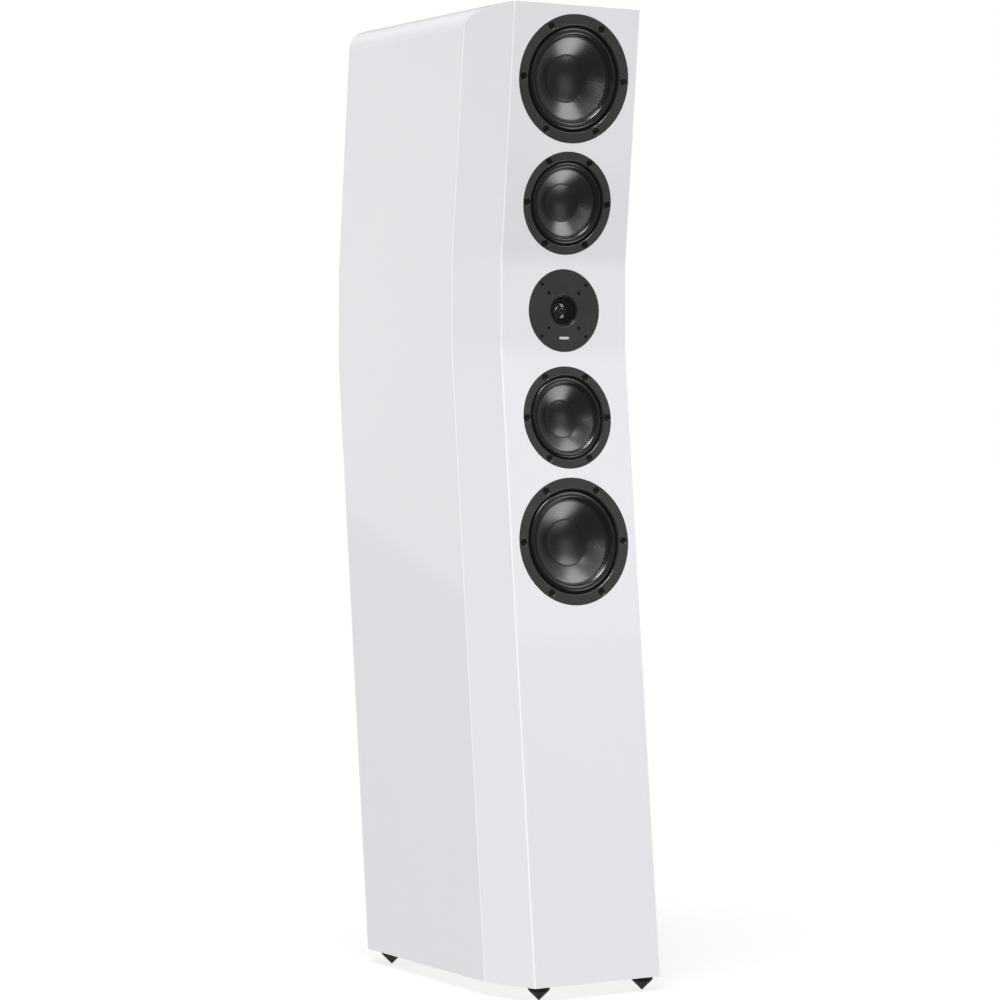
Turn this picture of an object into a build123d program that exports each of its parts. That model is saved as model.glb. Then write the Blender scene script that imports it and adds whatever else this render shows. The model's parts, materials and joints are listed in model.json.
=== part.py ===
from build123d import *
import os
from math import cos, hypot, radians, sin, tan

# Floorstanding loudspeaker, in millimetres. +Z is up, the drivers face -Y, and the origin is on the floor
# under the middle of the outline. A "height" is measured from the cabinet's underside, a "z" from the floor,
# and a "level" outwards from the cabinet's front or rear face.

# Cabinet outline
HEIGHT = 1279.0  # cabinet alone, without its spikes
WIDTH = 250.6
DEPTH = 400.0  # front face to rear face, measured level, the same at every height
LEAN = 5.9  # degrees that the lower and upper stretches lean from upright
FRONT_BENDS = (825.0, 943.0)  # heights where the front face bends
REAR_BENDS = (811.0, 943.0)
BEND_RADIUS = 200.0
FRONT_FLAT = 193.4  # width of the flat front face, between its two slanted facets
FACET_DEPTH = 80.3  # how far back each facet runs
TOP_ROUND = 28.0  # round-over along both sides of the top
FRONT_EDGE_ROUND = 2.0
SIDE_EDGE_ROUND = 6.0
REAR_EDGE_ROUND = 3.0
SPIKE_DROP = 18.5  # gap between the cabinet and the floor

# Cabinet walls and inner boards
FRONT_WALL = 25.0
FACET_WALL = 20.0
SIDE_WALL = 18.0
REAR_WALL = 19.0
TOP_WALL = 19.0
BASE_WALL = 22.0
MITRE_RISE = 6.0  # how far back the corner joint runs on its way through a side panel
BOARD = 16.0
BRACE_HEIGHTS = (190.0, 430.0, 812.0, 932.0)  # underside of each window brace
DIVIDER_HEIGHTS = (657.5, 1087.0)  # underside of the two boards that close off the midrange chamber
WINDOW_MARGIN = 30.0
WINDOW_CORNER = 25.0
PAD_SPANS = ((215.0, 425.0), (455.0, 650.0), (680.0, 805.0), (955.0, 1080.0), (1110.0, 1250.0))
PAD_THICK = 20.0
PAD_FRONT = 95.0  # the pads begin behind the facets
PAD_REAR = 30.0

# Drivers: height of each centre on the front face
WOOFER_HEIGHTS = {"upper": 1183.8, "lower": 575.3}
MIDRANGE_HEIGHTS = {"upper": 1021.4, "lower": 738.7}
TWEETER_HEIGHT = 880.1
WOOFER_FLANGE = 84.25  # radius of a 6.5 inch driver
MIDRANGE_FLANGE = 67.7  # radius of a 5.25 inch driver
TWEETER_FLANGE = 54.5
SCREWS_PER_DRIVER = 6
SCREW_CIRCLE = 0.918  # as a share of the flange's radius
GASKET = 1.5
GASKET_INSET = 0.8
REBATE_GAP = 0.4
CUTOUT_GAP = 1.0

# One cone driver at the woofer's size, as radii and levels. The midrange is the same design, smaller.
FLANGE_THICK = 5.0
LIP = 70.3  # inner edge of the flange
SEAT_LEVEL = -6.2  # where the surround and the cone's edge are glued
SEAT_INNER = 66.5
NECK = 73.0  # widest part behind the flange
NECK_LEVEL = -9.0
TAIL = 54.0  # basket behind its spokes
BASKET_WALL = 2.5
SPOKES = 6
SPOKE_WIDTH = 12.0
SPIDER_LEVEL = -42.0
SPIDER_SEAT = 46.0
BASE_LEVEL = -57.0  # rear of the basket, front of the motor
BASE_OPENING = 24.0
ROLL_CENTRE = 62.3
ROLL_RADIUS = 5.7
RUBBER = 0.8
ROLL_LAND = 2.2
CONE_EDGE = 56.2
CONE_BEND = 53.5
CONE_NECK = 18.6
CONE_NECK_LEVEL = -27.6
CONE_THICK = 0.9
CAP = 31.3
CAP_LEVEL = -19.0
CAP_DISH = 5.3
CAP_THICK = 0.7
COIL = 18.5
COIL_THICK = 0.3
COIL_TOP = -26.0
WINDING = 1.1
WINDING_SPAN = (-68.0, -54.0)
SPIDER_WAVES = 4
SPIDER_WAVE_SPAN = (22.5, 44.5)
SPIDER_WAVE = 1.8
SPIDER_THICK = 0.6
SPIDER_SPAN = (18.7, 51.0)
GAP_RADIUS = 20.6
PLATE = 45.0
PLATE_THICK = 6.0
MAGNET = 48.0
MAGNET_THICK = 18.0
POLE = 17.6
POLE_VENT = 5.0
POLE_TOP = -56.0

# Socket screws: head radius and height, recess radius and depth, shank radius and length
SCREW_M4 = (4.0, 2.4, 4.6, 2.6, 1.95, 18.0)
SCREW_M3 = (2.4, 1.6, 2.7, 1.8, 1.45, 12.0)
HEX_SHARE = 0.5  # the socket's radius as a share of the head's
HEX_FLOOR = 0.3  # where the socket ends, as a share of the head's height
HOLE_GAP = 0.08

# Tweeter, as radii and levels
TWEETER_PLATE = 4.0
TWEETER_RECESS = 21.0
TWEETER_LEDGE = -2.6
TWEETER_BODY = 38.0
DIFFUSER = 20.8
DIFFUSER_THICK = 1.2
DIFFUSER_RINGS = ((6.4, 6, 1.7), (10.6, 12, 1.9), (15.0, 18, 1.9))  # radius, count and size of the openings
DOME = 12.9
DOME_RISE = 4.6
DOME_THICK = 0.3
DOME_SEAT = -9.2
DOME_ROLL = 1.3
DOME_GAP = 13.9
DOME_LAND = 3.3  # flat outside the dome's half-roll
DOME_OPENING = (16.8, 17.6)  # in the faceplate, at its rear and its front
DOME_POLE = 12.1
DOME_COIL_END = -14.5
TWEETER_MAGNET = 36.0
TWEETER_MAGNET_BORE = 17.9
TWEETER_LEVELS = (-9.5, -14.5, -28.0, -33.0, -65.0)  # top plate, magnet, yoke, rear chamber and its end
CHAMBER = 30.0
CHAMBER_WALL = 2.0
TWEETER_SCREW_CIRCLES = (48.5, 32.7)

# Rear: two flared ports and a terminal plate
PORT_HEIGHTS = (320.0, 1190.0)
PORT_BORE = 27.5
PORT_WALL = 2.5
PORT_LENGTH = 120.0
PORT_FLARE = 12.0
PORT_RIM = 46.0
PORT_RIM_THICK = 3.0
PLATE_HEIGHT = 118.0
PLATE_SIZE = (116.0, 76.0, 4.0)
PLATE_CORNER = 8.0
PLATE_CUTOUT = (84.0, 46.0)
PLATE_SCREWS = (98.0, 58.0)
POST_OFFSET = 19.0  # each binding post from the plate's middle
POST = 4.0
POST_SHANK = 3.0
POST_INNER_END = -16.0
POST_END = 26.0
POST_COLLAR = (7.5, 6.4)
POST_NUT = (6.0, 4.0)
SOCKET = 2.0  # takes a 4 mm plug
SOCKET_DEPTH = 14.5
WIRE_HOLE_LEVEL = 8.9
WIRE_HOLE = 1.9
KNOB = 8.6
KNOB_SPAN = (8.1, 30.0)
KNOB_END = 3.4
KNOB_FLUTES = 12
KNOB_FLUTE = 1.1
KNOB_FLUTE_CIRCLE = 8.9
KNOB_FOOT = 4.0  # plain length below the flutes
KNOB_MOUTH = 2.7
WASHER_SPAN = (6.5, 8.0)
WASHER = 8.0
SLIDE_GAP = 0.3

# Spikes, with the place of each on the underside
SPIKES = {
    "front_left": (-80.0, -224.4),
    "front_right": (80.0, -224.4),
    "rear_left": (-102.0, 130.6),
    "rear_right": (102.0, 130.6),
}
RING = 14.6
RING_SPAN = (14.0, 18.4)  # z of the lock ring
RING_GROOVES = 24
RING_GROOVE = 0.7
RING_GROOVE_CIRCLE = 14.9
SPIKE_CONE = 13.6
SPIKE_SHOULDER = 13.9
SPIKE_TIP = 1.2
STUD = 3.92
STUD_TOP = 35.5
INSERT = 6.5
INSERT_BORE = 4.0
INSERT_DEPTH = 18.0

# Crossover and wiring
CIRCUIT = (150.0, 170.0, 2.0)
CIRCUIT_Y = -50.0
STANDOFF = (3.5, 8.0)
STANDOFF_INSET = 8.0
# x, y, radius and height of each
COILS = ((-42.0, -92.0, 24.0, 20.0), (36.0, -92.0, 18.0, 16.0), (52.0, -28.0, 14.0, 14.0))
COIL_HOLE_SHARE = 0.4
CAPACITOR = (11.0, 45.0)
CAPACITOR_XS = (-60.0, -34.0, -8.0, 18.0)
CAPACITOR_Y = -18.0
CABLE = 2.0
CABLE_BEND = 18.0
CABLE_START_Y = 28.0
CABLE_LIFT = 25.0  # straight up from the board
CABLE_SETBACK = 75.0  # above the board where a cable reaches its riser
CABLE_LEAVE = 40.0  # below its driver where a cable leaves its riser
TAG_LEVEL = -50.0
TAG_REACH = 24.0  # last straight run to a driver
POST_RUN = 35.0  # first straight run from a binding post
POST_DROP = 45.0  # last straight run down to the board
RISER_Y = 60.0  # clear inside every brace's window
RISERS = {
    "woofer_upper": 72.0,
    "midrange_upper": 64.0,
    "tweeter": 56.0,
    "midrange_lower": 48.0,
    "woofer_lower": 40.0,
}

SLOPE = tan(radians(LEAN))
HALF = WIDTH / 2
CORE_HALF = HALF - SIDE_WALL
FRONT_Y = (FRONT_BENDS[0] * SLOPE - DEPTH) / 2  # front face between its bends
FACET_OUT = HALF - FRONT_FLAT / 2
FAR = 1500.0  # larger than the cabinet
BEYOND = (50.0, 60.0)  # how far a cutting shape, and one that cuts it, run past the cabinet
OVERRUN = 1.4  # how far a facet's cut runs past the facet
FRONT_CLEAR = 100.0


def lean_at(height, bends):
    """How much further forward the cabinet stands at a height than between its bends."""
    return (max(bends[0] - height, 0) + max(height - bends[1], 0)) * SLOPE


def front_at(height):
    return FRONT_Y - lean_at(height, FRONT_BENDS)


def rear_at(height):
    return FRONT_Y + DEPTH - lean_at(height, REAR_BENDS)


def bent_face(points, bends):
    """A face in the YZ plane through points (y, height), rounded where the cabinet bends."""
    outline = make_face(Polyline(*points, close=True))
    corners = [v for v in outline.vertices() if any(abs(v.Y - bend) < 0.01 for bend in bends)]
    return Plane.YZ * Pos(0, SPIKE_DROP) * fillet(corners, BEND_RADIUS)


def boomerang(front, rear, half, bottom=0.0, top=HEIGHT):
    """The cabinet's side outline, pulled in at the front and the rear, 2 * half wide."""
    front_line = [(front_at(h) + front, h) for h in (bottom, *FRONT_BENDS, top)]
    rear_line = [(rear_at(h) - rear, h) for h in (top, *reversed(REAR_BENDS), bottom)]
    return extrude(bent_face(front_line + rear_line, FRONT_BENDS + REAR_BENDS), half, both=True)


def space_ahead(front, start_x, run):
    """Everything ahead of the front line, moved back by front and swept level from start_x along run."""
    line = [(front_at(h) + front, h) for h in (-BEYOND[1], *FRONT_BENDS, HEIGHT + BEYOND[1])]
    outline = bent_face(line + [(-FAR, line[-1][1]), (-FAR, line[0][1])], FRONT_BENDS)
    return Solid.extrude(Pos(start_x, 0, 0) * outline.face(), Vector(*run))


def both_sides(solid):
    return [solid, mirror(solid, about=Plane.YZ)]


def upright_edges(solid, x, ahead_of=FAR):
    """The edges that run up the cabinet at x and -x."""
    return [
        e for e in solid.edges()
        if abs(abs(e.center().X) - x) < 0.01 and abs(e.tangent_at(0.5).Z) > 0.5 and e.center().Y < ahead_of
    ]


def level_slab(bottom, top):
    """All space between two heights."""
    return Pos(0, 0, SPIKE_DROP + (bottom + top) / 2) * Box(2 * FAR, 2 * FAR, top - bottom)


def cabinet_block():
    """The outer shape of the cabinet, solid."""
    facet = space_ahead(0, -FRONT_FLAT / 2, (-OVERRUN * FACET_OUT, OVERRUN * FACET_DEPTH, 0))
    block = boomerang(0, 0, HALF) - both_sides(facet)
    block = fillet(upright_edges(block, FRONT_FLAT / 2), FRONT_EDGE_ROUND)
    block = fillet(upright_edges(block, HALF, 0), SIDE_EDGE_ROUND)
    block = fillet(upright_edges(block, HALF), REAR_EDGE_ROUND)
    centre = Pos(HALF - TOP_ROUND, 0, SPIKE_DROP + HEIGHT - TOP_ROUND)
    corner = centre * Pos(TOP_ROUND, 0, TOP_ROUND) * Box(2 * TOP_ROUND, FAR, 2 * TOP_ROUND)
    corner -= centre * Rot(90, 0, 0) * Cylinder(TOP_ROUND, 2 * FAR)
    return block - both_sides(corner)


def cabinet_core():
    """The space between the walls, running out past the top and bottom."""
    facet_length = hypot(FACET_OUT, FACET_DEPTH)
    inset = FACET_WALL * FACET_DEPTH / facet_length
    setback = FRONT_WALL - FACET_WALL * FACET_OUT / facet_length
    start = FRONT_FLAT / 2 - inset + setback * FACET_OUT / FACET_DEPTH
    facet = space_ahead(FRONT_WALL, -start, (-OVERRUN * FACET_OUT, OVERRUN * FACET_DEPTH, 0))
    return boomerang(FRONT_WALL, REAR_WALL, CORE_HALF, -BEYOND[0], HEIGHT + BEYOND[0]) - both_sides(facet)


def cabinet_panels():
    """The six panels. The front baffle's facets meet the side panels in a mitred corner joint."""
    block = cabinet_block()
    core = cabinet_core()
    base = block & level_slab(0, BASE_WALL)
    walls = block & level_slab(BASE_WALL, HEIGHT)
    overrun = 1 / SIDE_WALL
    mitre = space_ahead(
        FACET_DEPTH - overrun * MITRE_RISE, -HALF - 1, (SIDE_WALL + 1, MITRE_RISE * (1 + overrun), 0)
    )
    outside = Pos(-CORE_HALF - FAR, 0, 0) * Box(2 * FAR, 2 * FAR, 2 * FAR)
    left = (walls & outside) - mitre
    right = mirror(left, about=Plane.YZ)
    between = walls & Box(2 * CORE_HALF, 2 * FAR, 2 * FAR)
    rear = between - boomerang(-FRONT_CLEAR, REAR_WALL, HALF, -BEYOND[0], HEIGHT + BEYOND[0])
    top = walls & core & level_slab(HEIGHT - TOP_WALL, HEIGHT)
    return {
        "front_baffle": walls - left - right - rear - core,
        "left_side_panel": left,
        "right_side_panel": right,
        "rear_panel": rear,
        "top_panel": top,
        "bottom_panel": base,
    }


def front_frame(height):
    """A frame on the front face whose Z points out of the cabinet."""
    tilt = 0
    if height < FRONT_BENDS[0]:
        tilt = LEAN
    elif height > FRONT_BENDS[1]:
        tilt = -LEAN
    out = (0, -cos(radians(tilt)), sin(radians(tilt)))
    return Plane(origin=(0, front_at(height), SPIKE_DROP + height), x_dir=(1, 0, 0), z_dir=out)


def rear_frame(height):
    """A frame on the rear face whose Z points out of the cabinet."""
    tilt = LEAN if height > REAR_BENDS[1] else -LEAN
    out = (0, cos(radians(tilt)), sin(radians(tilt)))
    return Plane(origin=(0, rear_at(height), SPIKE_DROP + height), x_dir=(-1, 0, 0), z_dir=out)


def turned(*outline):
    """A round piece from its outline of (radius, level) points."""
    return revolve(Plane.XZ * make_face(Polyline(*outline, close=True)), Axis.Z)


def ring(inner, outer, low, high):
    return turned((inner, low), (outer, low), (outer, high), (inner, high))


def disc(radius, low, high):
    return Pos(0, 0, (low + high) / 2) * Cylinder(radius, high - low)


def dished(radius, rim, rise, thick):
    """A thin round cap with its front rim at a level and its middle further out by rise."""
    front = [(-radius, rim), (0, rim + rise), (radius, rim)]
    back = [(x, level - thick) for x, level in reversed(front)]
    skin = make_face([
        ThreePointArc(*front), Line(front[2], back[0]), ThreePointArc(*back), Line(back[2], front[0])
    ])
    return revolve(Plane.XZ * (skin & Pos(radius, 0) * Rectangle(2 * radius, FAR)), Axis.Z)


def half_roll(centre, radius, thick, level, inner_land, outer_land):
    """A thin ring with a half-round crest between two flat lands."""
    section = Circle(radius) - Circle(radius - thick)
    section &= Pos(0, radius) * Rectangle(4 * radius, 2 * radius)
    for side, land in ((-1, inner_land), (1, outer_land)):
        section += Pos(side * (radius + (land - thick) / 2), thick / 2) * Rectangle(land + thick, thick)
    return revolve(Plane.XZ * Pos(centre, level) * section, Axis.Z)


def around(count, radius, first=0.0):
    """Places evenly round a circle."""
    return [Rot(0, 0, first + 360 * n / count) * Pos(radius, 0, 0) for n in range(count)]


def screw(size, level):
    """A socket screw in a recess that opens at level."""
    head, head_height, _, recess, shank, length = size
    seat = level - recess
    body = disc(head, seat, seat + head_height) + disc(shank, seat - length, seat)
    socket = extrude(RegularPolygon(head * HEX_SHARE, 6), head_height)
    return body - Pos(0, 0, seat + head_height * HEX_FLOOR) * socket


def screw_cut(size, level):
    """The recess and hole that a screw needs."""
    _, _, recess_radius, recess, shank, length = size
    hole = disc(shank + HOLE_GAP, level - recess - length - 1, level)
    return disc(recess_radius, level - recess, level + 1) + hole


def group(pieces):
    """Separate solids as one node."""
    return Compound([solid for piece in pieces for solid in piece.solids()])


def basket():
    """Cast frame: flange, six spokes, spider seat and the ring that carries the motor."""
    inner_tail = TAIL - BASKET_WALL
    floor = BASE_LEVEL + BASKET_WALL
    seat_under = SPIDER_LEVEL - BASKET_WALL
    frame = turned(
        (LIP, 0), (WOOFER_FLANGE, 0), (WOOFER_FLANGE, -FLANGE_THICK), (NECK, -FLANGE_THICK), (NECK, NECK_LEVEL),
        (TAIL, SPIDER_LEVEL), (TAIL, BASE_LEVEL), (BASE_OPENING, BASE_LEVEL), (BASE_OPENING, floor),
        (inner_tail, floor), (inner_tail, seat_under), (SPIDER_SEAT, seat_under), (SPIDER_SEAT, SPIDER_LEVEL),
        (inner_tail, SPIDER_LEVEL), (NECK - 2 * BASKET_WALL, NECK_LEVEL), (SEAT_INNER, NECK_LEVEL),
        (SEAT_INNER, SEAT_LEVEL), (LIP, SEAT_LEVEL),
    )
    openings = ring(SPIDER_SEAT, WOOFER_FLANGE, SPIDER_LEVEL + BASKET_WALL, NECK_LEVEL - BASKET_WALL)
    for place in around(SPOKES, NECK, 180 / SPOKES):
        openings -= place * Pos(0, 0, SPIDER_LEVEL / 2) * Box(NECK, SPOKE_WIDTH, NECK)
    return frame - openings


def surround():
    return half_roll(ROLL_CENTRE, ROLL_RADIUS, RUBBER, SEAT_LEVEL, ROLL_LAND, ROLL_LAND)


def cone():
    under = SEAT_LEVEL - CONE_THICK
    return turned(
        (CONE_EDGE, SEAT_LEVEL), (CONE_BEND, SEAT_LEVEL), (CONE_NECK, CONE_NECK_LEVEL),
        (CONE_NECK, CONE_NECK_LEVEL - CONE_THICK), (CONE_BEND, under), (CONE_EDGE, under),
    )


def dust_cap():
    return dished(CAP, CAP_LEVEL, -CAP_DISH, CAP_THICK)


def voice_coil():
    """Thin former with its winding, which moves in the motor's gap."""
    end, start = WINDING_SPAN
    inner = COIL - COIL_THICK
    return turned(
        (inner, COIL_TOP), (COIL, COIL_TOP), (COIL, start), (COIL + WINDING, start), (COIL + WINDING, end),
        (inner, end),
    )


def spider():
    """Corrugated disc that centres the voice coil."""
    first, last = SPIDER_WAVE_SPAN
    inner, outer = SPIDER_SPAN
    steps = 4 * SPIDER_WAVES
    crests = [
        (first + (last - first) * n / steps, SPIDER_LEVEL + SPIDER_WAVE * (0, 1, 0, -1)[n % 4])
        for n in range(steps + 1)
    ]
    raised = [(radius, level + SPIDER_THICK) for radius, level in crests]
    outline = [
        Spline(*crests), Line(crests[-1], (outer, SPIDER_LEVEL)),
        Line((outer, SPIDER_LEVEL), (outer, SPIDER_LEVEL + SPIDER_THICK)),
        Line((outer, SPIDER_LEVEL + SPIDER_THICK), raised[-1]), Spline(*raised),
        Line(raised[0], (inner, SPIDER_LEVEL + SPIDER_THICK)),
        Line((inner, SPIDER_LEVEL + SPIDER_THICK), (inner, SPIDER_LEVEL)),
        Line((inner, SPIDER_LEVEL), crests[0]),
    ]
    return revolve(Plane.XZ * make_face(outline), Axis.Z)


def motor():
    """Top plate, ring magnet and yoke with its vented pole."""
    magnet_top = BASE_LEVEL - PLATE_THICK
    yoke_top = magnet_top - MAGNET_THICK
    yoke = disc(PLATE, yoke_top - PLATE_THICK, yoke_top) + disc(POLE, yoke_top, POLE_TOP)
    return group([
        ring(GAP_RADIUS, PLATE, magnet_top, BASE_LEVEL),
        ring(BASE_OPENING, MAGNET, yoke_top, magnet_top),
        yoke - disc(POLE_VENT, -FAR, FAR),
    ])


CONE_DRIVER_PIECES = {
    "basket": basket,
    "surround": surround,
    "cone": cone,
    "dust_cap": dust_cap,
    "voice_coil": voice_coil,
    "spider": spider,
    "motor": motor,
}
SHARED_PIECES = ("spider", "motor")


def screw_places(flange):
    return around(SCREWS_PER_DRIVER, SCREW_CIRCLE * flange)


def cone_driver(name, height, flange, nodes, baffle):
    """Adds one cone driver to nodes. Returns the baffle with its cutout, the gasket and the screws.

    Drivers of one size share a node for their spiders, and one for their motors.
    """
    frame = front_frame(height)
    size = flange / WOOFER_FLANGE
    cuts = [place * screw_cut(SCREW_M4, 0) for place in screw_places(flange)]
    for piece, make in CONE_DRIVER_PIECES.items():
        solid = scale(make(), by=size, about=(0, 0, 0))
        if piece == "basket":
            solid -= cuts
        node = f"{name.split('_')[0]}_{piece}s" if piece in SHARED_PIECES else f"{name}_{piece}"
        nodes[node] = group([*nodes.get(node, Compound()).solids(), frame * solid])
    gasket_top = -FLANGE_THICK * size
    cutout = NECK * size + CUTOUT_GAP
    gasket = ring(cutout, flange - GASKET_INSET, gasket_top - GASKET, gasket_top) - cuts
    rebate = disc(flange + REBATE_GAP, gasket_top - GASKET, 5) + disc(cutout, -2 * FRONT_WALL, 0)
    baffle = baffle - [frame * solid for solid in [rebate, *cuts]]
    screws = [frame * place * screw(SCREW_M4, 0) for place in screw_places(flange)]
    return baffle, frame * gasket, screws


def tweeter(nodes, baffle):
    """Adds the tweeter to nodes. Returns the baffle with its cutout, and the gasket."""
    frame = front_frame(TWEETER_HEIGHT)
    top_plate, magnet, yoke, chamber, end = TWEETER_LEVELS
    places = [place for circle in TWEETER_SCREW_CIRCLES for place in around(4, circle, 45)]
    cuts = [place * screw_cut(SCREW_M3, 0) for place in places]

    faceplate = turned(
        (TWEETER_RECESS, 0), (TWEETER_FLANGE, 0), (TWEETER_FLANGE, -TWEETER_PLATE),
        (TWEETER_BODY, -TWEETER_PLATE), (TWEETER_BODY, DOME_SEAT), (DOME_OPENING[0], DOME_SEAT),
        (DOME_OPENING[1], TWEETER_LEDGE), (TWEETER_RECESS, TWEETER_LEDGE),
    )
    diffuser = disc(DIFFUSER, TWEETER_LEDGE, TWEETER_LEDGE + DIFFUSER_THICK)
    for radius, count, size in DIFFUSER_RINGS:
        opening = Pos(0, 0, TWEETER_LEDGE - 1) * extrude(RegularPolygon(size, 6), 2 * DIFFUSER_THICK + 2)
        diffuser -= [place * opening for place in around(count, radius)]
    dome_rim = DOME_SEAT + DOME_THICK
    dome = dished(DOME, dome_rim, DOME_RISE, DOME_THICK)
    dome += ring(DOME - DOME_THICK, DOME, DOME_COIL_END, dome_rim - DOME_THICK / 2)
    dome += ring(DOME - DOME_THICK, DOME + DOME_THICK, DOME_COIL_END, top_plate - 1)
    yoke_block = disc(TWEETER_MAGNET, chamber, yoke) + disc(DOME_POLE, yoke, top_plate)
    cup = disc(CHAMBER, end, chamber) - disc(CHAMBER - CHAMBER_WALL, end + CHAMBER_WALL, chamber)
    pieces = {
        "faceplate": faceplate - cuts,
        "diffuser": diffuser,
        "dome": dome,
        "surround": half_roll(
            DOME + DOME_ROLL + DOME_THICK, DOME_ROLL, DOME_THICK, top_plate, DOME_THICK, DOME_LAND
        ),
        "motor": group([
            ring(DOME_GAP, TWEETER_BODY, magnet, top_plate) - cuts,
            ring(TWEETER_MAGNET_BORE, TWEETER_MAGNET, yoke, magnet),
            yoke_block - disc(POLE_VENT, -FAR, FAR),
            cup,
        ]),
        "screws": group([place * screw(SCREW_M3, 0) for place in places]),
    }
    nodes.update({f"tweeter_{piece}": frame * solid for piece, solid in pieces.items()})
    cutout = TWEETER_BODY + CUTOUT_GAP
    gasket = ring(cutout, TWEETER_FLANGE - GASKET_INSET, -TWEETER_PLATE - GASKET, -TWEETER_PLATE) - cuts
    rebate = disc(TWEETER_FLANGE + REBATE_GAP, -TWEETER_PLATE - GASKET, 5) + disc(cutout, -2 * FRONT_WALL, 0)
    outer_cuts = cuts[:4]
    baffle = baffle - [frame * solid for solid in [rebate, *outer_cuts]]
    return baffle, frame * gasket


def port_tube():
    """Flared tube whose rim lies on the rear face."""
    wall = PORT_BORE + PORT_WALL
    mouth = PORT_BORE + PORT_FLARE
    throat = PORT_RIM_THICK - PORT_FLARE
    bell = mouth + PORT_WALL
    arc_middle = (mouth - PORT_FLARE * cos(radians(45)), throat + PORT_FLARE * sin(radians(45)))
    straight = [
        (mouth, PORT_RIM_THICK), (PORT_RIM, PORT_RIM_THICK), (PORT_RIM, 0), (bell, 0), (bell, -PORT_WALL),
        (wall, -PORT_WALL - bell + wall), (wall, -PORT_LENGTH), (PORT_BORE, -PORT_LENGTH), (PORT_BORE, throat),
    ]
    flare = ThreePointArc(straight[-1], arc_middle, straight[0])
    return revolve(Plane.XZ * make_face([Polyline(*straight), flare]), Axis.Z)


def terminals(nodes, rear_panel):
    """Adds the terminal plate, its posts and knobs. Returns the rear panel with its cutout, and the screws."""
    frame = rear_frame(PLATE_HEIGHT)
    thick = PLATE_SIZE[2]
    corners = [
        Pos(x * PLATE_SCREWS[0] / 2, y * PLATE_SCREWS[1] / 2, 0) for x in (-1, 1) for y in (-1, 1)
    ]
    cuts = [corner * screw_cut(SCREW_M4, thick) for corner in corners]
    spots = {"left": Pos(-POST_OFFSET, 0, 0), "right": Pos(POST_OFFSET, 0, 0)}

    plate = extrude(RectangleRounded(PLATE_SIZE[0], PLATE_SIZE[1], PLATE_CORNER), thick) - cuts
    plate -= [spot * disc(POST_SHANK + HOLE_GAP, -5, 2 * thick) for spot in spots.values()]
    nodes["terminal_plate"] = frame * plate

    collar, collar_top = POST_COLLAR
    post = disc(POST_SHANK, POST_INNER_END, thick)
    post += disc(collar, thick, collar_top) + disc(POST, collar_top, POST_END)
    post -= disc(SOCKET, POST_END - SOCKET_DEPTH, POST_END + 1)
    post -= Pos(0, 0, WIRE_HOLE_LEVEL) * Rot(0, 90, 0) * Cylinder(WIRE_HOLE, 4 * POST)
    nut = Pos(0, 0, -POST_NUT[1]) * extrude(RegularPolygon(POST_NUT[0], 6), POST_NUT[1])
    nut -= disc(POST_SHANK + HOLE_GAP, -2 * POST_NUT[1], POST_NUT[1])
    nodes["binding_posts"] = group([frame * spot * solid for spot in spots.values() for solid in (post, nut)])

    low, high = KNOB_SPAN
    knob = disc(KNOB, low, high) - disc(POST + SLIDE_GAP, low - 1, high - KNOB_END)
    knob -= disc(KNOB_MOUTH, low, high + 1)
    knob -= [
        place * disc(KNOB_FLUTE, low + KNOB_FOOT, high + 1) for place in around(KNOB_FLUTES, KNOB_FLUTE_CIRCLE)
    ]
    washer = ring(POST + SLIDE_GAP, WASHER, *WASHER_SPAN)
    for side, spot in spots.items():
        nodes[f"terminal_knob_{side}"] = frame * spot * knob
        nodes[f"terminal_washer_{side}"] = frame * spot * washer

    cutout = extrude(RectangleRounded(*PLATE_CUTOUT, PLATE_CORNER), 4 * REAR_WALL, both=True)
    screws = [frame * corner * screw(SCREW_M4, thick) for corner in corners]
    return rear_panel - [frame * solid for solid in [cutout, *cuts]], screws


def feet(nodes, base):
    """Adds the spikes, their lock rings and inserts. Returns the bottom panel with its holes."""
    ring_low, ring_high = RING_SPAN
    lock_ring = ring(STUD + SLIDE_GAP, RING, ring_low, ring_high)
    grooves = around(RING_GROOVES, RING_GROOVE_CIRCLE)
    lock_ring -= [place * disc(RING_GROOVE, ring_low - 1, ring_high + 1) for place in grooves]
    spike = turned(
        (0, 0), (SPIKE_TIP, 0), (SPIKE_CONE, SPIKE_SHOULDER - 1), (SPIKE_CONE, SPIKE_SHOULDER),
        (STUD, SPIKE_SHOULDER), (STUD, STUD_TOP), (0, STUD_TOP),
    )
    insert = ring(INSERT_BORE, INSERT, SPIKE_DROP, SPIKE_DROP + INSERT_DEPTH)
    places = {corner: Pos(x, y, 0) for corner, (x, y) in SPIKES.items()}
    for corner, place in places.items():
        nodes[f"spike_{corner}"] = place * spike
        nodes[f"lock_ring_{corner}"] = place * lock_ring
    nodes["spike_inserts"] = group([place * insert for place in places.values()])
    return base - [place * disc(INSERT, 0, SPIKE_DROP + INSERT_DEPTH) for place in places.values()]


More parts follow.
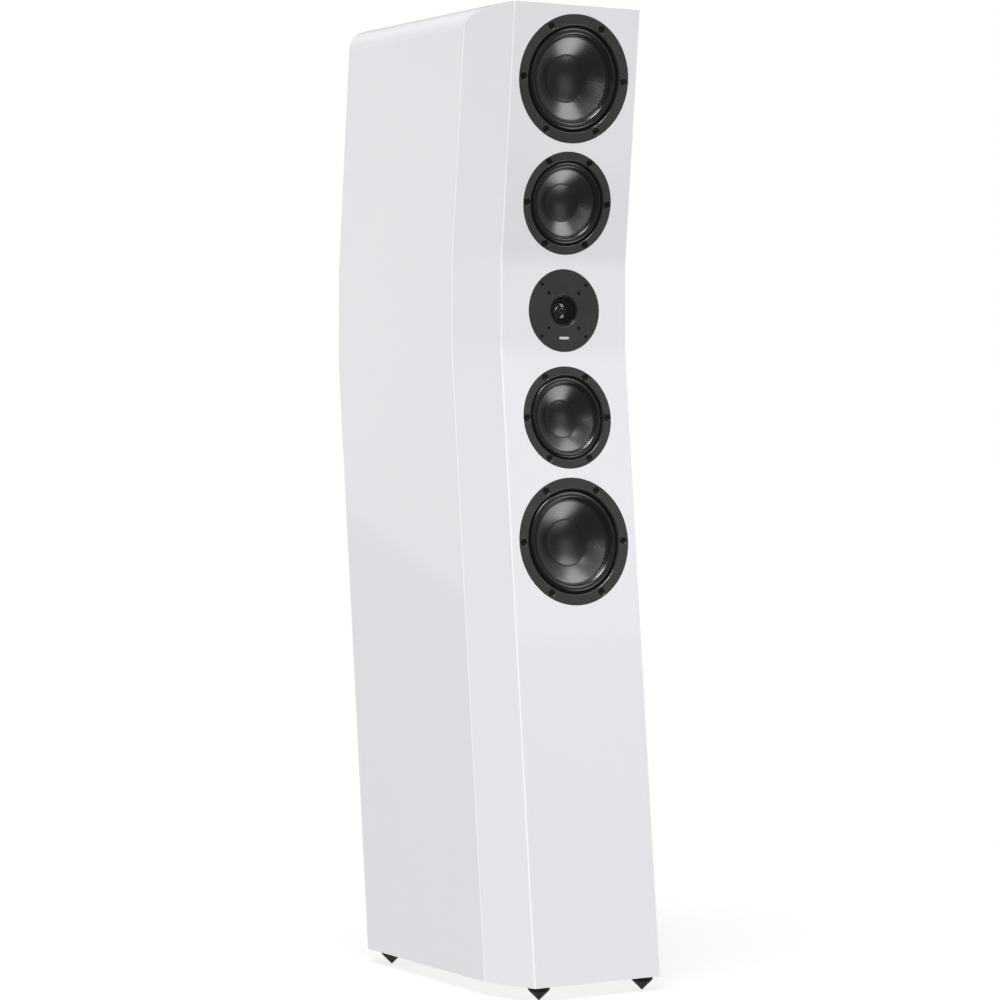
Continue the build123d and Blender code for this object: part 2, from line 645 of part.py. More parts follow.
def inner_boards(core):
    """Window braces, and the two dividers that close off the midrange chamber, with holes for the cables."""
    boards = []
    for height in BRACE_HEIGHTS:
        depth = rear_at(height) - front_at(height) - FRONT_WALL - REAR_WALL - 2 * WINDOW_MARGIN
        middle = (rear_at(height) + front_at(height) + FRONT_WALL - REAR_WALL) / 2
        window = extrude(RectangleRounded(2 * (CORE_HALF - WINDOW_MARGIN), depth, WINDOW_CORNER), FAR)
        boards.append((core & level_slab(height, height + BOARD)) - Pos(0, middle, 0) * window)
    for height in DIVIDER_HEIGHTS:
        crossing = [x for name, x in RISERS.items() if driver_height(name) > height]
        holes = [Pos(x, RISER_Y, 0) * disc(CABLE + 2 * HOLE_GAP, 0, FAR) for x in crossing]
        boards.append((core & level_slab(height, height + BOARD)) - holes)
    return group(boards)


def damping_pads():
    """Soft pads on both side walls of each chamber."""
    pads = []
    band = boomerang(PAD_FRONT, PAD_REAR, CORE_HALF) - Box(2 * (CORE_HALF - PAD_THICK), 2 * FAR, 3 * FAR)
    for bottom, top in PAD_SPANS:
        pads.append(band & level_slab(bottom, top))
    return group(pads)


def driver_height(name):
    kind, *place = name.split("_")
    heights = {"woofer": WOOFER_HEIGHTS, "midrange": MIDRANGE_HEIGHTS}
    return heights[kind][place[0]] if place else TWEETER_HEIGHT


def cable(*points):
    """A round cable through points, with tangent arcs at its corners."""
    path = FilletPolyline(*points, radius=CABLE_BEND)
    return sweep(Plane(path @ 0, z_dir=path % 0) * Circle(CABLE), path)


def wiring(board_top):
    """The leads from the terminals to the crossover, and from the crossover to each driver."""
    leads = []
    for name, x in RISERS.items():
        frame = front_frame(driver_height(name))
        size = (MIDRANGE_FLANGE if "midrange" in name else WOOFER_FLANGE) / WOOFER_FLANGE
        tag, level = (CHAMBER, TAG_LEVEL) if name == "tweeter" else (TAIL * size, TAG_LEVEL * size)
        near = frame.from_local_coords((tag + TAG_REACH, 0, level))
        end = frame.from_local_coords((tag + HOLE_GAP, 0, level))
        leads.append(cable(
            (x, CABLE_START_Y, board_top), (x, CABLE_START_Y, board_top + CABLE_LIFT),
            (x, RISER_Y, board_top + CABLE_SETBACK), (x, RISER_Y, near.Z - CABLE_LEAVE), near, end,
        ))
    frame = rear_frame(PLATE_HEIGHT)
    for x in (-POST_OFFSET, POST_OFFSET):
        start = frame.from_local_coords((-x, 0, POST_INNER_END))
        inward = frame.from_local_coords((-x, 0, POST_INNER_END - POST_RUN))
        end = (x, CABLE_START_Y, board_top)
        leads.append(cable(start, inward, (x, CABLE_START_Y, board_top + POST_DROP), end))
    return group(leads)


def crossover(nodes):
    """Adds the circuit board on its standoffs, its coils and capacitors. Returns the z of the board's top."""
    width, depth, thick = CIRCUIT
    post_radius, post_height = STANDOFF
    floor = SPIKE_DROP + BASE_WALL
    top = floor + post_height + thick
    board = Pos(0, CIRCUIT_Y, top - thick / 2) * Box(width, depth, thick)
    corner_x, corner_y = width / 2 - STANDOFF_INSET, depth / 2 - STANDOFF_INSET
    standoffs = [
        Pos(x * corner_x, CIRCUIT_Y + y * corner_y, 0) * disc(post_radius, floor, floor + post_height)
        for x in (-1, 1) for y in (-1, 1)
    ]
    nodes["crossover_board"] = group([board, *standoffs])
    nodes["crossover_coils"] = group([
        Pos(x, y, 0) * ring(radius * COIL_HOLE_SHARE, radius, top, top + height)
        for x, y, radius, height in COILS
    ])
    radius, length = CAPACITOR
    can = Rot(90, 0, 0) * Cylinder(radius, length)
    nodes["crossover_capacitors"] = group([Pos(x, CAPACITOR_Y, top + radius) * can for x in CAPACITOR_XS])
    return top


def build():
    nodes = {}
    panels = cabinet_panels()
    baffle = panels["front_baffle"]
    gaskets, screws = [], []
    drivers = [(f"woofer_{place}", height, WOOFER_FLANGE) for place, height in WOOFER_HEIGHTS.items()]
    drivers += [(f"midrange_{place}", height, MIDRANGE_FLANGE) for place, height in MIDRANGE_HEIGHTS.items()]
    for name, height, flange in drivers:
        baffle, gasket, driver_screws = cone_driver(name, height, flange, nodes, baffle)
        gaskets.append(gasket)
        screws += driver_screws
    baffle, gasket = tweeter(nodes, baffle)
    gaskets.append(gasket)
    panels["front_baffle"] = baffle

    rear_panel, plate_screws = terminals(nodes, panels["rear_panel"])
    ports = [rear_frame(height) for height in PORT_HEIGHTS]
    bell = PORT_BORE + PORT_FLARE + PORT_WALL + REBATE_GAP
    panels["rear_panel"] = rear_panel - [frame * disc(bell, -2 * REAR_WALL, 5) for frame in ports]
    panels["bottom_panel"] = feet(nodes, panels["bottom_panel"])

    nodes.update(panels)
    nodes["port_tubes"] = group([frame * port_tube() for frame in ports])
    nodes["driver_gaskets"] = group(gaskets)
    nodes["mounting_screws"] = group(screws + plate_screws)
    nodes["inner_boards"] = inner_boards(cabinet_core())
    nodes["damping_pads"] = damping_pads()
    nodes["wiring_harness"] = wiring(crossover(nodes))
    return nodes


os.makedirs("parts", exist_ok=True)
for node, shape in build().items():
    export_step(shape, f"parts/{node}.step")
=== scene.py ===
import json
from math import atan2, cos, hypot, pi, radians, sin, tan

import bmesh
import bpy
from mathutils import Matrix, Vector, noise


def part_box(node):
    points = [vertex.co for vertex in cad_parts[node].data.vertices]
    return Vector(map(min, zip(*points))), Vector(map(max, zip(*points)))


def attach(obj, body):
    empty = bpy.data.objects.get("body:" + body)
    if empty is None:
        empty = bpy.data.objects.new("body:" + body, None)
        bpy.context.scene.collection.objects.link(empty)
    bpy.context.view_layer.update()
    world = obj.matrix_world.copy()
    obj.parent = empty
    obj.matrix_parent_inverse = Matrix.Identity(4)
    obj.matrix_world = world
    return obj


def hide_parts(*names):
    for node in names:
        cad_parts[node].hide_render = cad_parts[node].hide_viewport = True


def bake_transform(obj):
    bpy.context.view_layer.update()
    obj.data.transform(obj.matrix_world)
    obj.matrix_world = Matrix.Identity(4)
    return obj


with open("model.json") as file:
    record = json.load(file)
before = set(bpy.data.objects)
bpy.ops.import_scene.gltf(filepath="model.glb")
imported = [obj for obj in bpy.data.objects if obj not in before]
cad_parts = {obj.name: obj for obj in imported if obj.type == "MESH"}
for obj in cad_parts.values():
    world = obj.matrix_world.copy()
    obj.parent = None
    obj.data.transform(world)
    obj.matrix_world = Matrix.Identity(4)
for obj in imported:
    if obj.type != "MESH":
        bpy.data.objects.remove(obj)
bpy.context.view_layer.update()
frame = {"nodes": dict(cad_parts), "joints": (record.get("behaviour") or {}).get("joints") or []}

# Floorstanding speaker. Profiles below are in millimetres in a driver's or fitting's own frame, as radii and
# levels with level 0 on the fitting's outermost face, and each is placed by its CAD node.
MM = 0.001
ROOT = "cabinet"
JOINTS = {joint["name"]: joint for joint in frame["joints"]}
WOOFERS = ("woofer_upper", "woofer_lower")
MIDRANGES = ("midrange_upper", "midrange_lower")
SIDES = ("left", "right")
SPIKES = ("front_left", "front_right", "rear_left", "rear_right")


# ---------------------------------------------------------------- materials

def principled(name, colour, roughness, **sockets):
    """A material with constants on its shader's own sockets."""
    material = bpy.data.materials.new(name)
    material.use_nodes = True
    shader = material.node_tree.nodes["Principled BSDF"]
    shader.inputs["Base Color"].default_value = (*colour, 1)
    shader.inputs["Roughness"].default_value = roughness
    for socket, value in sockets.items():
        shader.inputs[socket.replace("_", " ")].default_value = value
    return material


def coordinates(tree):
    """The node tree's one texture coordinate node."""
    return tree.nodes.get("Texture Coordinate") or tree.nodes.new("ShaderNodeTexCoord")


def calculate(tree, operation, *values):
    """The result of a math node. Each value is a socket or a number."""
    node = tree.nodes.new("ShaderNodeMath")
    node.operation = operation
    for n, value in enumerate(values):
        if isinstance(value, bpy.types.NodeSocket):
            tree.links.new(value, node.inputs[n])
        else:
            node.inputs[n].default_value = value
    return node.outputs[0]


def map_range(tree, value, source, target, interpolation="LINEAR"):
    """A value moved from one (start, end) range to another and held at its ends."""
    node = tree.nodes.new("ShaderNodeMapRange")
    node.interpolation_type = interpolation
    node.inputs["From Min"].default_value, node.inputs["From Max"].default_value = source
    node.inputs["To Min"].default_value, node.inputs["To Max"].default_value = target
    tree.links.new(value, node.inputs["Value"])
    return node.outputs["Result"]


def ramp(tree, factor, *stops):
    """The colour at factor on a ramp through (position, colour) stops."""
    node = tree.nodes.new("ShaderNodeValToRGB")
    elements = node.color_ramp.elements
    own = len(elements)
    for n, (position, colour) in enumerate(stops):
        stop = elements[n] if n < own else elements.new(position)
        stop.position = position
        stop.color = (*colour, 1)
    tree.links.new(factor, node.inputs["Fac"])
    return node.outputs["Color"]


def noise_texture(material, scale, **settings):
    """A noise pattern in the piece's own coordinates, in metres."""
    tree = material.node_tree
    node = tree.nodes.new("ShaderNodeTexNoise")
    tree.links.new(coordinates(tree).outputs["Object"], node.inputs["Vector"])
    node.inputs["Scale"].default_value = scale
    for socket, value in settings.items():
        node.inputs[socket].default_value = value
    return node.outputs["Fac"]


def vary_colour(material, light, dark, factor, low=0.35, high=0.65):
    """Colour that wanders between two tones."""
    tree = material.node_tree
    colour = ramp(tree, factor, (low, dark), (high, light))
    tree.links.new(colour, tree.nodes["Principled BSDF"].inputs["Base Color"])


def vary_roughness(material, low, high, factor):
    """Roughness that wanders between two values."""
    tree = material.node_tree
    span = map_range(tree, factor, (0.3, 0.7), (low, high))
    tree.links.new(span, tree.nodes["Principled BSDF"].inputs["Roughness"])


def bumps(material, *layers):
    """Surface relief from (factor, distance in metres, strength) layers, each on top of the last."""
    nodes, links = material.node_tree.nodes, material.node_tree.links
    below = None
    for factor, distance, strength in layers:
        bump = nodes.new("ShaderNodeBump")
        bump.inputs["Distance"].default_value = distance
        bump.inputs["Strength"].default_value = strength
        links.new(factor, bump.inputs["Height"])
        if below:
            links.new(below, bump.inputs["Normal"])
        below = bump.outputs["Normal"]
    links.new(below, nodes["Principled BSDF"].inputs["Normal"])
    return below


def mixed(name, light, dark, roughness, grain, relief, **sockets):
    """A material with cloudy colour, uneven roughness and a fine grain.

    roughness is a (low, high) range, grain the fine pattern's scale, and relief its depth in metres.
    """
    clouds, strength = 18, 0.6
    material = principled(name, light, roughness[0], **sockets)
    cloud = noise_texture(material, clouds, Detail=4, Roughness=0.6)
    fine = noise_texture(material, grain, Detail=3, Roughness=0.7)
    vary_colour(material, light, dark, cloud)
    vary_roughness(material, *roughness, fine)
    bumps(material, (fine, relief, strength))
    return material


BLACK, WHITE = (0, 0, 0), (1, 1, 1)


def lacquer():
    """Gloss white lacquer, with a painted highlight: a near-white base colour along the rounded edges of the
    front and its facets.
    """
    material = principled(
        "gloss_white_lacquer", (0.80, 0.80, 0.80), 0.30, Coat_Weight=1.0, Coat_Roughness=0.045, Coat_IOR=1.5,
        IOR=1.46,
    )
    tree = material.node_tree
    links = tree.links
    shader = tree.nodes["Principled BSDF"]
    cloud = noise_texture(material, 5, Detail=2)
    peel = noise_texture(material, 260, Detail=1)
    wave = noise_texture(material, 14, Detail=1)
    vary_colour(material, (0.793, 0.803, 0.829), (0.785, 0.795, 0.821), cloud, 0.0, 1.0)
    vary_roughness(material, 0.28, 0.32, cloud)
    normal = bumps(material, (wave, 0.0004, 0.04), (peel, 0.00002, 0.25))
    links.new(normal, shader.inputs["Coat Normal"])

    # Painted highlight: each rounded edge is a range of the surface direction's sideways share, on faces that
    # look forward.
    split = tree.nodes.new("ShaderNodeSeparateXYZ")
    links.new(coordinates(tree).outputs["Normal"], split.inputs["Vector"])
    sideways = calculate(tree, "ABSOLUTE", split.outputs["X"])
    rounded = ramp(
        tree, sideways, (0.10, BLACK), (0.20, WHITE), (0.86, WHITE), (0.93, BLACK), (0.952, BLACK),
        (0.962, WHITE), (0.990, WHITE), (0.998, BLACK),
    )
    forward = map_range(tree, split.outputs["Y"], (-0.01, -0.05), (0, 1))
    edge = calculate(tree, "MULTIPLY", rounded, forward)
    # Painted highlight: on those edges the base colour is mixed toward near white.
    painted_highlight = tree.nodes.new("ShaderNodeMix")
    painted_highlight.data_type = "RGBA"
    colour = shader.inputs["Base Color"].links[0].from_socket
    links.new(edge, painted_highlight.inputs["Factor"])
    links.new(colour, painted_highlight.inputs["A"])
    painted_highlight.inputs["B"].default_value = (0.97, 0.97, 0.97, 1)
    links.new(painted_highlight.outputs["Result"], shader.inputs["Base Color"])
    return material


def polished_edges(material, reach, dull, shine, smooth):
    """Rounded edges of a round piece that catch the light, except at its rim.

    reach is the share of the piece's half width within which edges shine. dull and shine are the shader's
    specular levels on its flats and on its edges, and smooth is the edges' roughness.
    """
    tree = material.node_tree
    links = tree.links
    shader = tree.nodes["Principled BSDF"]
    facing = coordinates(tree)
    split = tree.nodes.new("ShaderNodeSeparateXYZ")
    links.new(facing.outputs["Normal"], split.inputs["Vector"])
    slope = ramp(tree, split.outputs["Z"], (0.10, BLACK), (0.30, WHITE), (0.90, WHITE), (0.975, BLACK))
    centred = tree.nodes.new("ShaderNodeVectorMath")
    centred.operation = "MULTIPLY_ADD"
    centred.inputs[1].default_value, centred.inputs[2].default_value = (2, 2, 0), (-1, -1, 0)
    links.new(facing.outputs["Generated"], centred.inputs[0])
    away = tree.nodes.new("ShaderNodeVectorMath")
    away.operation = "LENGTH"
    links.new(centred.outputs["Vector"], away.inputs[0])
    within = calculate(tree, "LESS_THAN", away.outputs["Value"], reach)
    edge = calculate(tree, "MULTIPLY", slope, within)
    level = map_range(tree, edge, (0, 1), (dull, shine))
    links.new(level, shader.inputs["Specular IOR Level"])
    rough = tree.nodes.new("ShaderNodeMix")
    links.new(edge, rough.inputs["Factor"])
    links.new(shader.inputs["Roughness"].links[0].from_socket, rough.inputs["A"])
    rough.inputs["B"].default_value = smooth
    links.new(rough.outputs["Result"], shader.inputs["Roughness"])


def grey(value, tint=0.0):
    """A grey, with its blue raised by the share tint."""
    return (value, value, value * (1 + tint))


# Light and dark colour, range of roughness, scale of the grain, and its depth in metres.
MIXED = {
    "dark_cast_frame": (grey(0.038, 0.03), grey(0.030, 0.03), (0.40, 0.55), 2600, 0.00006),
    "dark_faceplate": (grey(0.034, 0.04), grey(0.027, 0.04), (0.42, 0.56), 2600, 0.00006),
    "surround_rubber": (grey(0.008), grey(0.006), (0.20, 0.28), 900, 0.00002),
    "driver_cone": (grey(0.009, 0.04), grey(0.006, 0.04), (0.24, 0.31), 1400, 0.00002),
    "dust_cap": (grey(0.012, 0.04), grey(0.009, 0.04), (0.24, 0.31), 1400, 0.00002),
    "copper_winding": ((0.62, 0.28, 0.14), (0.48, 0.20, 0.10), (0.25, 0.4), 3000, 0.00003),
    "spider_cloth": ((0.50, 0.36, 0.17), (0.40, 0.28, 0.12), (0.7, 0.9), 2200, 0.0001),
    "motor_steel": (grey(0.10), grey(0.07), (0.35, 0.55), 1200, 0.00004),
    "gasket_foam": (grey(0.030), grey(0.020), (0.85, 1.0), 1800, 0.0003),
    "black_screws": (grey(0.020), grey(0.012), (0.28, 0.42), 1600, 0.00002),
    "black_grid": (grey(0.004), grey(0.003), (0.20, 0.30), 2400, 0.00001),
    "dome_metal": (grey(0.74), grey(0.68), (0.07, 0.11), 1500, 0.000004),
    "tweeter_edge": (grey(0.030), grey(0.022), (0.5, 0.65), 1600, 0.00003),
    "port_plastic": (grey(0.028), grey(0.022), (0.45, 0.60), 1500, 0.00006),
    "terminal_plastic": (grey(0.022), grey(0.016), (0.22, 0.34), 1500, 0.00003),
    "plated_brass": ((0.86, 0.66, 0.32), (0.78, 0.58, 0.26), (0.16, 0.30), 900, 0.00001),
    "circuit_board": ((0.03, 0.16, 0.07), (0.02, 0.11, 0.05), (0.35, 0.5), 700, 0.00004),
    "capacitor_sleeve": ((0.62, 0.52, 0.14), (0.55, 0.45, 0.11), (0.3, 0.45), 400, 0.00003),
    "cable_sheath": ((0.10, 0.015, 0.015), (0.07, 0.01, 0.01), (0.35, 0.5), 900, 0.00004),
    "raw_board": ((0.42, 0.29, 0.17), (0.32, 0.22, 0.13), (0.75, 0.95), 900, 0.0002),
    "wadding": (grey(0.72), grey(0.55), (0.95, 1.0), 500, 0.002),
    "black_spike": (grey(0.022), grey(0.014), (0.26, 0.40), 1400, 0.00003),
    "badge_ink": (grey(0.62), grey(0.52), (0.35, 0.5), 1200, 0.00001),
    "ring_red": ((0.45, 0.02, 0.015), (0.38, 0.015, 0.01), (0.3, 0.4), 1200, 0.00002),
    "ring_black": (grey(0.012), grey(0.009), (0.5, 0.6), 1200, 0.00002),
}
SOCKETS = {
    "surround_rubber": {"Specular_IOR_Level": 0.7},
    "driver_cone": {"IOR": 1.7, "Specular_IOR_Level": 1.0},
    "dust_cap": {"Specular_IOR_Level": 1.0},
    "copper_winding": {"Metallic": 1.0},
    "motor_steel": {"Metallic": 0.6},
    "black_screws": {"Metallic": 0.7},
    "dome_metal": {"Metallic": 1.0},
    "plated_brass": {"Metallic": 1.0},
    "wadding": {"Sheen_Weight": 0.4},
    "black_spike": {"Metallic": 0.4},
}
LOOKS = {"gloss_white_lacquer": lacquer()}
for look, values in MIXED.items():
    LOOKS[look] = mixed(look, *values, **SOCKETS.get(look, {}))
for look in ("dark_cast_frame", "dark_faceplate"):
    polished_edges(LOOKS[look], reach=0.985, dull=0.4, shine=1.0, smooth=0.16)


# ---------------------------------------------------------------- places, from the CAD nodes

def place(node, out, across=(1, 0, 0), keep=None):
    """A frame at the middle of a node's outermost face, with Z along out, and the node's half width in mm.

    keep chooses among the node's points.
    """
    out, across = Vector(out).normalized(), Vector(across)
    turn_in = Matrix((across, out.cross(across), out))
    points = [turn_in @ v.co for v in frame["nodes"][node].data.vertices if keep is None or keep(v.co)]
    low = [min(point[i] for point in points) for i in range(3)]
    high = [max(point[i] for point in points) for i in range(3)]
    origin = Vector(((low[0] + high[0]) / 2, (low[1] + high[1]) / 2, high[2]))
    half_width = (high[0] - low[0]) / 2 / MM
    turn_out = turn_in.transposed()
    return Matrix.Translation(turn_out @ origin) @ turn_out.to_4x4(), half_width


# ---------------------------------------------------------------- shapes

def path(*corners, closed=True, steps=4):
    """Points through (radius, level) corners. A third number rounds that corner."""
    count = len(corners)
    points = []
    for n, corner in enumerate(corners):
        here = Vector(corner[:2])
        radius = corner[2] if len(corner) > 2 else 0
        if not radius or (not closed and n in (0, count - 1)):
            points.append(tuple(here))
            continue
        back = (Vector(corners[n - 1][:2]) - here).normalized()
        ahead = (Vector(corners[(n + 1) % count][:2]) - here).normalized()
        half = back.angle(ahead) / 2
        middle = here + (back + ahead).normalized() * (radius / sin(half))
        start, end = here + back * (radius / tan(half)) - middle, here + ahead * (radius / tan(half)) - middle
        sweep = start.angle_signed(end)
        for step in range(steps + 1):
            points.append(tuple(middle + Matrix.Rotation(-sweep * step / steps, 2) @ start))
    return points


def arc(centre, radius, start, end, steps):
    """Points on an arc, with its angles in degrees."""
    angles = [radians(start + (end - start) * n / steps) for n in range(steps + 1)]
    return [(centre[0] + radius * cos(a), centre[1] + radius * sin(a)) for a in angles]


def mesh_piece(name, vertices, faces, matrix, look, smooth=True):
    """A mesh object whose vertices are given in millimetres in the frame of matrix."""
    mesh = bpy.data.meshes.new(name)
    mesh.from_pydata([Vector(v) * MM for v in vertices], [], faces)
    work = bmesh.new()
    work.from_mesh(mesh)
    bmesh.ops.recalc_face_normals(work, faces=work.faces)
    work.to_mesh(mesh)
    work.free()
    for polygon in mesh.polygons:
        polygon.use_smooth = smooth
    mesh.materials.append(LOOKS[look])
    piece = bpy.data.objects.new(name, mesh)
    bpy.context.scene.collection.objects.link(piece)
    piece.matrix_world = matrix
    return piece


def loft(name, rings, matrix, look):
    """Skin over rings of equally many points, capped at both ends."""
    count = len(rings[0])
    last = len(rings) - 1
    vertices = [point for ring in rings for point in ring]
    faces = []
    for n in range(last):
        a, b = n * count, (n + 1) * count
        faces += [(a + i, a + (i + 1) % count, b + (i + 1) % count, b + i) for i in range(count)]
    faces += [tuple(range(count)), tuple(range(last * count, (last + 1) * count))]
    return mesh_piece(name, vertices, faces, matrix, look)


def turned(name, profile, matrix, look, around, shape=None, size=1.0, even=True):
    """A round piece from its profile. A profile that starts and ends at radius 0 is closed by poles.

    shape(radius, level, angle) gives the true radius where the piece isn't round.
    """
    profile = [(r * size, w * size) for r, w in profile]
    poles = profile[0][0] == 0 and profile[-1][0] == 0
    rows = profile[1:-1] if poles else profile
    vertices, faces = [], []
    for r, w in rows:
        for n in range(around):
            angle = 2 * pi * n / around
            true = shape(r, w, angle) if shape else r
            vertices.append((true * cos(angle), true * sin(angle), w))
    last = len(rows) - 1 if poles else len(rows)
    for row in range(last):
        a, b = row * around, (row + 1) % len(rows) * around
        faces += [(a + n, a + (n + 1) % around, b + (n + 1) % around, b + n) for n in range(around)]
    if poles:
        for level, row in ((profile[0][1], 0), (profile[-1][1], (len(rows) - 1) * around)):
            tip = len(vertices)
            vertices.append((0, 0, level))
            faces += [(tip, row + n, row + (n + 1) % around) for n in range(around)]
    piece = mesh_piece(name, vertices, faces, matrix, look)
    if even:
        weighted_normals(piece)
    return piece


def weighted_normals(piece):
    """Shading that keeps flat faces flat beside rounded edges."""
    modifier = piece.modifiers.new("even_normals", "WEIGHTED_NORMAL")
    modifier.weight = 80


def cut(piece, cutters):
    """Takes the cutters out of a piece and removes them."""
    holes = join(cutters)
    modifier = piece.modifiers.new("cut", "BOOLEAN")
    modifier.object = holes
    modifier.solver = "EXACT"
    piece.modifiers.move(len(piece.modifiers) - 1, 0)
    bpy.context.view_layer.objects.active = piece
    bpy.context.view_layer.update()
    with bpy.context.temp_override(object=piece, active_object=piece):
        bpy.ops.object.modifier_apply(modifier="cut")
    bpy.data.objects.remove(holes)
    for polygon in piece.data.polygons:
        polygon.use_smooth = True


def join(pieces):
    """One piece from several, in the first one's frame."""
    first = pieces[0]
    work = bmesh.new()
    home = first.matrix_world.inverted()
    bpy.context.view_layer.update()
    for piece in pieces:
        start = len(work.verts)
        work.from_mesh(piece.data)
        work.verts.ensure_lookup_table()
        shift = home @ piece.matrix_world
        for vertex in work.verts[start:]:
            vertex.co = shift @ vertex.co
    work.to_mesh(first.data)
    work.free()
    for piece in pieces[1:]:
        bpy.data.objects.remove(piece)
    return first


def across_face(x, y):
    """A move in the plane of a seat, from millimetres."""
    return Matrix.Translation(Vector((x, y, 0)) * MM)


def spots(count, radius, first=0.0):
    """Places evenly round a circle, as matrices. radius is in millimetres and first, an angle, in degrees."""
    angles = [radians(first + 360 * n / count) for n in range(count)]
    return [across_face(radius * cos(a), radius * sin(a)) for a in angles]


def hexagon(corner_radius):
    """The true radius at an angle of a hexagon with that corner radius."""
    def at(angle):
        return corner_radius * cos(pi / 6) / cos((angle % (pi / 3)) - pi / 6)
    return at


def shallow_sphere(half_width, rise):
    """The radius of the sphere that a shallow dome is part of, and the angle from its top to its rim."""
    radius = (half_width * half_width + rise * rise) / (2 * rise)
    return radius, atan2(half_width, radius - rise)


def with_levels(profile, radius, levels, below):
    """A profile with points added at a radius, after its last point out there that is below a level."""
    start = max(n for n, (r, w) in enumerate(profile) if r > radius - 0.1 and w < below) + 1
    return profile[:start] + [(radius, w) for w in levels] + profile[start:]


# ---------------------------------------------------------------- screws

def socket_head(name, radius, height, seat, matrix, around=48):
    """A socket screw's head on its seat, with a hexagonal socket and its shank below."""
    top, bottom = seat + height, seat - 8
    shank, socket, mouth = radius * 0.48, radius * 0.56, radius * 0.64
    hole = hexagon(socket)
    profile = path(
        (0, bottom), (shank, bottom), (shank, seat), (radius, seat, 0.1), (radius, top, 0.35), (mouth, top),
        (socket, top - 0.25), (socket, top - height * 0.7), (0, top - height * 0.8), closed=False,
    )

    def shape(r, w, angle):
        is_socket = w > seat and r <= radius * 0.57
        return hole(angle) if is_socket else r

    return turned(name, profile, matrix, "black_screws", around, shape)


def recess_cutter(radius, depth, matrix, chamfer, around=40):
    """A tool that leaves a round recess with a chamfered mouth."""
    profile = [
        (0, -depth), (radius, -depth), (radius, -chamfer), (radius + chamfer + 0.2, 0.2), (radius + 1, 2),
        (0, 2),
    ]
    return turned("cutter", profile, matrix, "black_screws", around, even=False)


# ---------------------------------------------------------------- cone drivers

WOOFER_FLANGE = 84.25  # a woofer's flange radius, which the profiles below are drawn for
SCREWS = 6
SCREW_SHARE = 0.918  # how far out the screws sit, as a share of the flange's radius
SPOKES = 6


def chassis(name, seat, size, flange):
    """Cast frame: flange with recesses for its screws, neck, spokes and the ring that carries the motor."""
    front = path(
        (70.3, 0, 1.1), (WOOFER_FLANGE, 0, 0.7), (WOOFER_FLANGE, -5, 0.4), (73, -5), (73, -9), (71.2, -11.5),
        (66.7, -11.5), (67.6, -9), (66.6, -9), (66.6, -6.25), (70.3, -6.25), steps=5,
    )
    ring = turned(f"{name}_frame", front, seat, "dark_cast_frame", 180, size=size)
    places = spots(SCREWS, SCREW_SHARE * flange)
    cut(ring, [recess_cutter(4.6, 2.6, seat @ spot, 0.8 * size) for spot in places])
    rear = path(
        (55.3, -39.5), (54, -42), (54, -57), (24, -57), (24, -54.5), (51.5, -54.5), (51.5, -44.5),
        (46, -44.5), (46, -42), (51.5, -42), (52.8, -39.5), steps=2,
    )
    cup = turned(f"{name}_frame_rear", rear, seat, "dark_cast_frame", 96, size=size)
    half_width = 6.0
    spokes = []
    for n in range(SPOKES):
        middle = radians(360 / SPOKES * (n + 0.5))
        sides = ([], [])
        for r, w in ((71.2, -11.0), (66.9, -11.0), (52.6, -40.0), (55.4, -40.0)):
            for side, points in zip((-1, 1), sides):
                angle = middle + side * (half_width / r)
                points.append((r * cos(angle) * size, r * sin(angle) * size, w * size))
        spokes.append(loft(f"{name}_spoke_{n}", sides, seat, "dark_cast_frame"))
    join([cup, *spokes])
    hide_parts(f"{name}_basket")
    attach(ring, ROOT)
    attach(cup, ROOT)


def flex(piece):
    """Bakes a ring's placement into its mesh, in the scene's axes.
    """
    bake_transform(piece)

def surround(name, seat, size):
    """Rubber half-roll with a flat land each side."""
    centre = (62.3, -6.2)
    outer = arc(centre, 5.7, 0, 180, 20)
    inner = arc(centre, 4.9, 180, 0, 20)
    profile = [
        (70.2, -5.4), (68.6, -5.4), *outer[1:-1], (55.9, -5.4), (54.4, -5.4), (54.4, -6.2), (57.0, -6.2),
        *inner[1:-1], (67.6, -6.2), (70.2, -6.2),
    ]
    piece = turned(f"{name}_surround_roll", profile, seat, "surround_rubber", 160, size=size)
    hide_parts(f"{name}_surround")
    flex(piece)


def cone(name, seat, size):
    """Smooth cone with its edge glued under the surround, and its concave dust cap with a glue bead."""
    body = f"{name}_diaphragm"
    edge_radius, edge_level, neck_radius, neck_level = 53.4, -6.6, 18.7, -27.9
    bow, thickness, steps = 1.1, 0.85, 18
    front = [(56.2, -6.25), (54.6, -6.25), (edge_radius, edge_level)]
    for n in range(1, steps + 1):
        t = n / steps
        r = edge_radius + (neck_radius - edge_radius) * t
        front.append((r, edge_level + (neck_level - edge_level) * t + bow * sin(pi * t)))
    back = [(r, w - thickness) for r, w in reversed(front)]
    skin = turned(f"{name}_cone_skin", front + back, seat, "driver_cone", 160, size=size)
    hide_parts(f"{name}_cone")
    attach(skin, body)

    rim, level, dish = 31.3, -18.6, 5.4
    within_bead, cap_thickness, cap_steps = 0.975, 0.7, 22
    bead = arc((rim, level - 0.35), 0.62, -60, 200, 10)
    radius, start = shallow_sphere(rim, dish)
    hollow = []
    for n in range(cap_steps + 1):
        angle = start * (1 - n / cap_steps) * within_bead
        hollow.append((radius * sin(angle), level + radius * (1 - cos(angle)) - dish))
    hollow[-1] = (0, hollow[-1][1])
    under = [(r, w - cap_thickness) for r, w in reversed(hollow)]
    cap = turned(f"{name}_dust_cap_dish", [*under, *bead, *hollow], seat, "dust_cap", 128, size=size)
    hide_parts(f"{name}_dust_cap")
    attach(cap, body)


